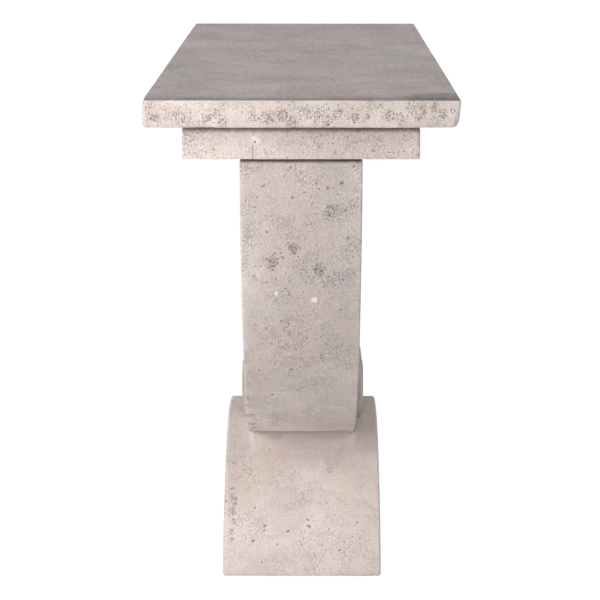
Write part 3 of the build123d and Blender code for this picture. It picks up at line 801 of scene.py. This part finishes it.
def foot():
    """Arched foot, its ends cut level by the floor."""
    mid_radius = FOOT_OUTER - FOOT_BAND / 2
    half_turn = math.pi / 2 - math.asin(-FOOT_CENTRE_Z / mid_radius)
    half = np.array([mid_radius * half_turn, FOOT_HALF_WIDTH, FOOT_BAND / 2])
    points, quads = lattice(lines(half[0], 1.6 * MM, 3.6 * MM, 10 * MM),
                            lines(half[1], 1.6 * MM, 3.4 * MM, 13 * MM),
                            lines(half[2], 1.6 * MM, 3.2 * MM, 9 * MM))
    left = smooth_step(points[:, 1], 0, half[1])
    worn = smooth_step(fractal(points, 0.055, 41), 0.2, 1.1)
    nibbles = smooth_step(fractal(points, 0.012, 42), 0.45, 1.2)
    radius = (3.6 + worn * (1.8 + 1.5 * left) + 1.6 * nibbles) * MM
    shaped, normal = round_block(points, half, radius)
    sunk = 1 - np.abs(normal[:, 0])
    relief = -0.16 * MM * (1 + noise(shaped, 0.07, 43))
    relief -= 0.05 * MM * (1 + noise(shaped, 0.008, 44))
    shaped = shaped + normal * (relief * sunk)[:, None]
    radial = FOOT_OUTER - half[2] + shaped[:, 2]
    floor_turn = math.pi / 2 - np.arcsin(-FOOT_CENTRE_Z / radial)
    turn = shaped[:, 0] / half[0] * floor_turn
    bent = np.stack([radial * np.sin(turn), shaped[:, 1], FOOT_CENTRE_Z + radial * np.cos(turn)], axis=1)
    bent[:, 2] = np.maximum(bent[:, 2], 0.0)
    stone = mesh_object("arched_foot_stone", bent, quads, FOOT_STONE)
    seat_half = CRADLE_HALF_WIDTH + SEAT_SIDE_GAP
    seat = drum("seat_tool", CRADLE_OUTER + SEAT_BED, seat_half, CRADLE_CENTRE_Z, 720, FOOT_STONE)
    carve(stone, [seat])
    return stone


def rosette_height(reach):
    """Height of the rosette's face above its back at a distance from its middle."""
    def bead(middle, radius):
        return ROSETTE_FIELD + np.sqrt(np.clip(radius ** 2 - (reach - middle) ** 2, 0, None))

    rise = ROSETTE_BUTTON_TOP - ROSETTE_FIELD
    dome_radius = (ROSETTE_BUTTON_REACH ** 2 + rise ** 2) / (2 * rise)
    dome = ROSETTE_BUTTON_TOP - dome_radius + np.sqrt(np.clip(dome_radius ** 2 - reach ** 2, 0, None))
    rings = [bead(*ring) for ring in ROSETTE_RINGS]
    return np.maximum.reduce([*rings, np.where(reach < ROSETTE_BUTTON_REACH, dome, 0)])


def rosette(name, side, seed):
    """Turned rosette on one side of the hub: side is -1 or +1 along Y."""
    steps, button_rows, ring_rows = 208, 24, 66
    middle = 0.6 * MM
    reach = np.concatenate([np.linspace(middle, ROSETTE_BUTTON_REACH, button_rows, endpoint=False),
                            np.linspace(ROSETTE_BUTTON_REACH, ROSETTE_RADIUS, ring_rows)])
    turn = np.linspace(0, 2 * math.pi, steps, endpoint=False)
    grid_reach, grid_turn = np.meshgrid(reach, turn, indexing="ij")
    flat = np.stack([grid_reach * np.cos(grid_turn), grid_reach * np.sin(grid_turn),
                     np.zeros_like(grid_reach)], axis=-1).reshape(-1, 3)
    height = rosette_height(grid_reach.ravel())
    wear = smooth_step(fractal(flat + seed, 0.02, seed), 0.2, 1.2)
    height = height - (0.5 * wear + 0.12 * (1 + noise(flat, 0.004, seed + 5))) * MM
    face = flat.copy()
    face[:, 2] = np.maximum(height, 0.3 * MM)
    back_rows = np.array([ROSETTE_RADIUS, ROSETTE_RADIUS / 2, middle])
    back = np.concatenate([np.stack([row * np.cos(turn), row * np.sin(turn), np.zeros(steps)], axis=1)
                           for row in back_rows])
    points = np.concatenate([face, back, [[0, 0, height[:steps].mean()], [0, 0, 0]]])
    rows = len(reach) + len(back_rows)
    quads = []
    for row in range(rows - 1):
        for i in range(steps):
            j = (i + 1) % steps
            quads.append((row * steps + i, (row + 1) * steps + i, (row + 1) * steps + j, row * steps + j))
    front_centre, back_centre = rows * steps, rows * steps + 1
    last = (rows - 1) * steps
    fans = [(front_centre, i, (i + 1) % steps) for i in range(steps)]
    fans += [(back_centre, last + (i + 1) % steps, last + i) for i in range(steps)]
    placed = np.stack([points[:, 0], side * (ROSETTE_BACK + points[:, 2]), ROSETTE_Z + points[:, 1]],
                      axis=1)
    stone = mesh_object(name, placed, quads + fans, ROSETTE_STONE)
    tidy_normals(stone.data)
    crown = drum("crown_tool", FOOT_OUTER + ROSETTE_FOOT_GAP, FOOT_HALF_WIDTH, FOOT_CENTRE_Z, 480,
                 ROSETTE_STONE)
    carve(stone, [crown])
    return stone


# ---------------------------------------- holes, place by place
# Larger holes on the near end: (across, height, radius, stretch, turn) in millimetres and radians.
SLAB_HOLES = [
    (186, 734, 1.5, 1.3, 0.2), (178, 730, 1.1, 1.0, 0.9), (149, 735, 1.4, 1.4, 1.2),
    (123, 733, 1.7, 1.3, 0.1), (108, 737, 1.3, 1.5, 0.3), (53, 737, 1.2, 1.1, 2.0),
    (34, 735, 1.6, 1.5, 0.5), (21, 733, 1.2, 1.2, 1.0), (-13, 737, 1.3, 1.2, 0.2),
    (-47, 735, 1.2, 1.3, 1.7), (-97, 737, 1.1, 1.2, 0.4), (-118, 736, 1.5, 1.6, 0.1),
    (-151, 737, 1.7, 1.4, 0.6), (-170, 737, 1.4, 1.3, 2.2), (-160, 742, 1.2, 1.2, 0.8),
    (-128, 744, 1.2, 1.5, 0.2),
]
LINTEL_HOLES = [
    (114, 690, 1.1, 1.3, 0.3), (60, 700, 1.5, 1.1, 0.5), (-24, 693, 1.2, 1.4, 0.1),
    (-95, 688, 1.4, 1.3, 0.2), (-115, 686, 1.3, 1.6, 0.1), (-135, 688, 1.2, 1.2, 0.9),
    (101, 684, 1.0, 1.2, 0.4), (-56, 685, 1.0, 1.3, 0.6),
]
LEG_HOLES = [
    (50, 639, 1.6, 2.1, 1.5), (61, 610, 1.5, 1.3, 0.4), (11, 623, 1.6, 1.2, 0.6),
    (-5, 630, 1.2, 1.5, 1.2), (-21, 642, 1.4, 1.2, 0.2), (-24, 635, 1.2, 1.2, 1.9),
    (-36, 636, 1.8, 1.3, 0.7), (-55, 643, 2.0, 1.9, 1.3), (-49, 628, 1.3, 1.1, 0.3),
    (-34, 604, 1.5, 1.4, 0.9), (-39, 599, 1.7, 1.3, 2.3), (-44, 605, 1.2, 1.2, 0.1),
    (-54, 603, 1.4, 1.3, 1.6), (-60, 606, 1.2, 1.2, 0.5), (45, 575, 1.6, 1.2, 0.3),
    (-64, 567, 1.3, 1.4, 1.1), (12, 553, 1.8, 1.6, 0.2), (6, 551, 1.5, 1.5, 0.4),
    (35, 544, 1.6, 1.2, 1.0), (24, 538, 1.9, 1.3, 0.3), (47, 535, 1.5, 1.3, 2.1),
    (38, 520, 1.7, 1.4, 0.8), (46, 501, 1.4, 1.2, 0.2), (-21, 522, 1.8, 1.3, 0.6),
    (-28, 519, 1.6, 1.6, 0.2), (-38, 510, 2.1, 1.3, 0.9), (-58, 506, 1.6, 1.2, 1.4),
    (-8, 413, 1.7, 1.2, 0.7), (-34, 403, 1.5, 1.3, 0.3), (-28, 384, 1.4, 1.2, 1.2),
    (-30, 378, 1.7, 1.4, 0.4), (41, 403, 1.3, 1.2, 0.2), (37, 369, 1.5, 1.3, 1.8),
    (59, 356, 1.6, 1.2, 0.5), (41, 307, 1.9, 1.3, 0.9), (-37, 303, 1.3, 1.5, 0.2),
]
FOOT_HOLES = [
    (56, 68, 1.7, 1.3, 0.5), (21, 61, 1.9, 1.2, 1.2), (-9, 75, 1.5, 1.3, 0.3),
    (-11, 67, 1.6, 2.2, 0.4), (74, 48, 1.9, 1.3, 0.8), (37, 44, 1.5, 1.2, 1.6),
    (72, 90, 1.4, 1.2, 0.2), (81, 129, 1.6, 1.3, 0.9), (107, 142, 1.5, 1.4, 1.4),
    (-43, 132, 1.4, 1.2, 0.3), (60, 20, 1.4, 1.3, 2.0),
]


def on_flat_end(rows, end_x):
    """The places of a list as hole_tool wants them, on a flat near end."""
    return [((end_x, y * MM, z * MM), (-1, 0, 0), radius * MM, stretch, turn)
            for y, z, radius, stretch, turn in rows]


def on_arc(rows, arc_radius, centre_z):
    """The same on the near half of an arched face."""
    places = []
    for y, z, radius, stretch, turn in rows:
        rise = z * MM - centre_z
        away = math.sqrt(arc_radius ** 2 - rise ** 2)
        places.append(((-away, y * MM, z * MM), (-away, 0, rise), radius * MM, stretch, turn))
    return places


def slab_wanted(centres, normals):
    """Holes gather on the sides; the trowelled top and the underside have few."""
    sideways = 1 - smooth_step(np.abs(normals[:, 2]), 0.5, 0.8)
    low = 1 - smooth_step(centres[:, 2], TABLE_TOP - 16 * MM, TABLE_TOP - 5 * MM)
    wanted = 0.012 + sideways * (0.25 + 0.75 * low)
    near_end = normals[:, 0] < -0.5
    for y, z, reach in SLAB_PITTED:
        away = np.hypot(centres[:, 1] - y * MM, centres[:, 2] - z * MM) / (reach * MM)
        wanted = wanted + near_end * 14 * np.exp(-away ** 2)
    return wanted


def even_wanted(centres, normals):
    """Holes lie on all faces alike."""
    return np.ones(len(centres))


def foot_wanted(centres, normals):
    """No holes in the seat or in the ends that stand on the floor."""
    seat = np.hypot(centres[:, 0], centres[:, 2] - CRADLE_CENTRE_Z) < CRADLE_OUTER + 2 * SEAT_BED
    inside_seat = seat & (np.abs(centres[:, 1]) < CRADLE_HALF_WIDTH + 2 * SEAT_SIDE_GAP)
    return np.where(inside_seat | (centres[:, 2] < 3 * MM), 0.0, 1.0)


def finish_stone(stone, holes, nodes, inner):
    """Cuts a stone's holes and the room for its inner pieces, and puts it in place of its CAD node."""
    carve(stone, [hole_tool(stone.name + "_holes", holes)])
    carve(stone, [node_tool(node) for node in inner])
    soften(stone)
    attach(stone, "root")
    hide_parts(nodes)


SLAB_FIXINGS = ["slab_dowels", "slab_dowel_resin"]
CRADLE_FIXINGS = ["cradle_dowels", "cradle_dowel_resin"]
FOOT_FIXINGS = ["foot_dowels", "foot_dowel_resin"]
ROSETTE_FIXINGS = ["rosette_dowel", "rosette_dowel_resin"]

top = slab()
top_holes = scatter_holes(top, 700, 101, 0.5 * MM, 1.3 * MM, 0.035, slab_wanted,
                          on_flat_end(SLAB_HOLES, NEAR_END))
finish_stone(top, top_holes, "top_slab", ["slab_long_bars", "slab_cross_bars", *SLAB_FIXINGS])

beam = lintel()
beam_holes = scatter_holes(beam, 380, 102, 0.5 * MM, 1.2 * MM, 0.04, even_wanted,
                           on_flat_end(LINTEL_HOLES, LINTEL_LOW[0]))
finish_stone(beam, beam_holes, "lintel",
             ["lintel_long_bars", "lintel_cross_bars", *SLAB_FIXINGS, *CRADLE_FIXINGS])

ring = cradle()
ring_holes = scatter_holes(ring, 900, 103, 0.6 * MM, 1.5 * MM, 0.06, even_wanted,
                           on_arc(LEG_HOLES, CRADLE_OUTER, CRADLE_CENTRE_Z))
finish_stone(ring, ring_holes, "cradle",
             ["cradle_bars", "cradle_links", *CRADLE_FIXINGS, *FOOT_FIXINGS, *ROSETTE_FIXINGS])

base = foot()
base_holes = scatter_holes(base, 380, 104, 0.6 * MM, 1.4 * MM, 0.06, foot_wanted,
                           on_arc(FOOT_HOLES, FOOT_OUTER, FOOT_CENTRE_Z))
finish_stone(base, base_holes, "arched_foot", ["foot_bars", "foot_cross_bars", *FOOT_FIXINGS])

for node, side, seed in (("rosette_right", -1, 61), ("rosette_left", 1, 67)):
    disc = rosette(node + "_stone", side, seed)
    disc_holes = scatter_holes(disc, 45, seed, 0.6 * MM, 1.5 * MM, 0.04, even_wanted)
    finish_stone(disc, disc_holes, node, ROSETTE_FIXINGS)

# ---------------------------------------- finishes of the CAD pieces
FINISHES = {
    "cast_stone_top": SLAB_STONE,
    "cast_stone": FOOT_STONE,
    "mortar": gritty("bed_mortar", shade(112, 100, 93), shade(152, 139, 130), 160.0, 0.92, 0.8 * MM),
    "resin": gritty("fixing_resin", shade(120, 121, 118), shade(146, 147, 142), 90.0, 0.45, 0.2 * MM),
    "packer_plastic": gritty("packer_sheet", shade(38, 40, 43), shade(54, 56, 60), 220.0, 0.50, 0.1 * MM),
    "stainless_steel": bar_steel("stainless_bar", shade(150, 150, 152), shade(186, 187, 190), 0.32),
    "reinforcement": bar_steel("galvanised_bar", shade(128, 130, 132), shade(168, 171, 175), 0.48),
}
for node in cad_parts.values():
    for slot in node.material_slots:
        slot.material = FINISHES[slot.material.name.split(".")[0]]
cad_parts["foot_bed"].material_slots[0].material = STRUCK_MORTAR

# ---------------------------------------- floor, light and camera
FLOOR_HALF = 30.0
corners = np.array([(-1, -1, 0), (1, -1, 0), (1, 1, 0), (-1, 1, 0)])
floor = mesh_object("floor", corners * FLOOR_HALF, [(0, 1, 2, 3)], floor_material())

# Strength of the sky light from the right and from the left of the table.
SKY_RIGHT = 0.40
SKY_LEFT = 0.80


def studio_world():
    """Soft white light from all round, stronger from the left; the backdrop shows as plain white."""
    world = bpy.data.worlds.new("studio")
    world.use_nodes = True
    tree = world.node_tree
    tree.nodes.clear()
    kinds = ("TexCoord", "SeparateXYZ", "MapRange", "Background", "Background", "LightPath", "MixShader",
             "OutputWorld")
    direction, split, strength, light, backdrop, path, choose, out = (
        tree.nodes.new("ShaderNode" + kind) for kind in kinds)
    limits = {"From Min": -1.0, "From Max": 1.0, "To Min": SKY_RIGHT, "To Max": SKY_LEFT}
    for key, value in limits.items():
        strength.inputs[key].default_value = value
    for shown in (light, backdrop):
        shown.inputs["Color"].default_value = WHITE
    for source, target in ((direction.outputs["Generated"], split.inputs[0]),
                           (split.outputs["Y"], strength.inputs["Value"]),
                           (strength.outputs["Result"], light.inputs["Strength"]),
                           (path.outputs["Is Camera Ray"], choose.inputs[0]),
                           (light.outputs[0], choose.inputs[1]),
                           (backdrop.outputs[0], choose.inputs[2]),
                           (choose.outputs[0], out.inputs["Surface"])):
        tree.links.new(source, target)
    bpy.context.scene.world = world


def softbox(name, place, aim, size, power):
    """A white oblong light, in watts, turned towards a point."""
    data = bpy.data.lights.new(name, "AREA")
    data.shape = "RECTANGLE"
    data.size, data.size_y = size
    data.energy = power
    lamp = add_object(name, data)
    lamp.location = place
    lamp.rotation_euler = (Vector(aim) - Vector(place)).to_track_quat("-Z", "Y").to_euler()


studio_world()
softbox("left_front", (-1.9, 1.4, 1.0), (-0.5, 0.0, 0.5), (1.5, 1.5), 33.0)
softbox("low_front", (-2.4, 0.5, 0.25), (-0.2, 0.0, 0.15), (1.4, 0.4), 9.0)
softbox("right", (-0.9, -1.8, 0.9), (-0.4, 0.0, 0.5), (1.2, 1.2), 4.0)
softbox("overhead", (0.2, 0.2, 2.6), (0.2, 0.0, 0.6), (2.4, 2.4), 22.0)

# The camera stands back from the top's near end, a little above it and aside, and looks down at it.
CAMERA_BACK = 2.363
CAMERA_ABOVE = 0.299
CAMERA_ASIDE = -0.013
CAMERA_PITCH = math.radians(13.33)
CAMERA_YAW = math.radians(0.34)
CAMERA_LENS = 111.7
CAMERA_SENSOR = 36.0
CAMERA_SIGHT = 200.0
camera_data = bpy.data.cameras.new("camera")
camera_data.lens = CAMERA_LENS
camera_data.sensor_width = CAMERA_SENSOR
camera_data.clip_end = CAMERA_SIGHT
camera = add_object("camera", camera_data)
camera.location = (NEAR_END - CAMERA_BACK, CAMERA_ASIDE, TABLE_TOP + CAMERA_ABOVE)
camera.rotation_euler = Euler((math.pi / 2 - CAMERA_PITCH, 0, CAMERA_YAW - math.pi / 2), "XYZ")
bpy.context.scene.camera = camera
bpy.context.scene.view_settings.view_transform = "Standard"
